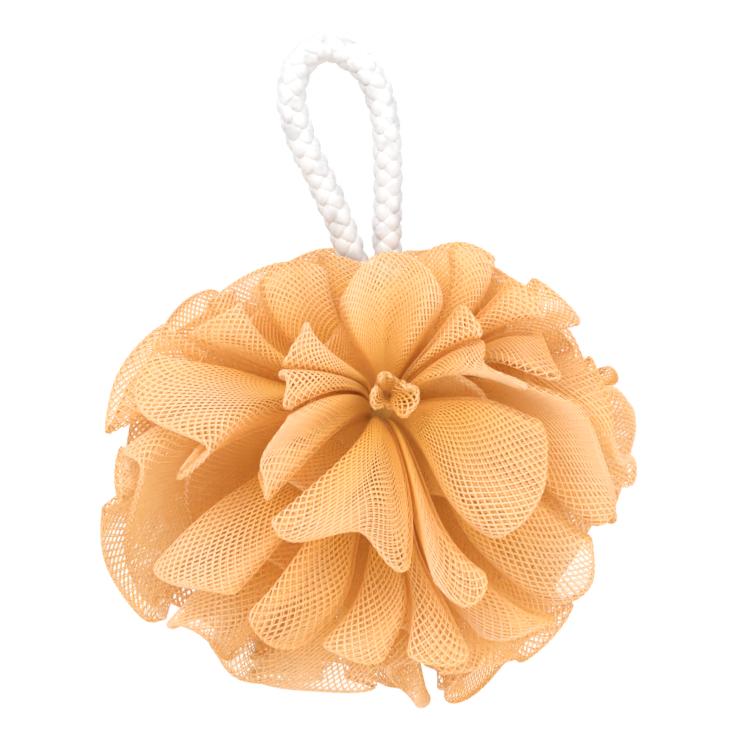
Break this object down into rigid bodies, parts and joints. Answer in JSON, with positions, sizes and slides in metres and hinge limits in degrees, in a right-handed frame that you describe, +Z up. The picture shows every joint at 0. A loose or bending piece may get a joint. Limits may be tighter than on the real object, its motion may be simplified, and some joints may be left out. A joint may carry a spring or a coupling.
{
  "type": "mesh bath sponge",
  "caption": "Ball of gathered netting ruffles cinched at the middle, hanging on a plaited rope loop that comes out of its top.",
  "frame": {"origin": "the point where the inside of the rope loop rests on a hook, straight above the ball's front-to-back middle", "axes": "+Z up, away from the ball, +X to the right as seen from the front, and the side with the petals and the dimple faces -Y"},
  "size_m": [0.1348, 0.1189, 0.1683],
  "materials": {
    "netting": "soft plastic netting with a faint sheen",
    "tie": "matte cord",
    "rope": "soft plaited cord, slightly glossy"
  },
  "bodies": {
    "root": {"net_ruffles": "netting", "tie_cord": "tie", "hanging_loop": "rope"}
  },
  "joints": []
}
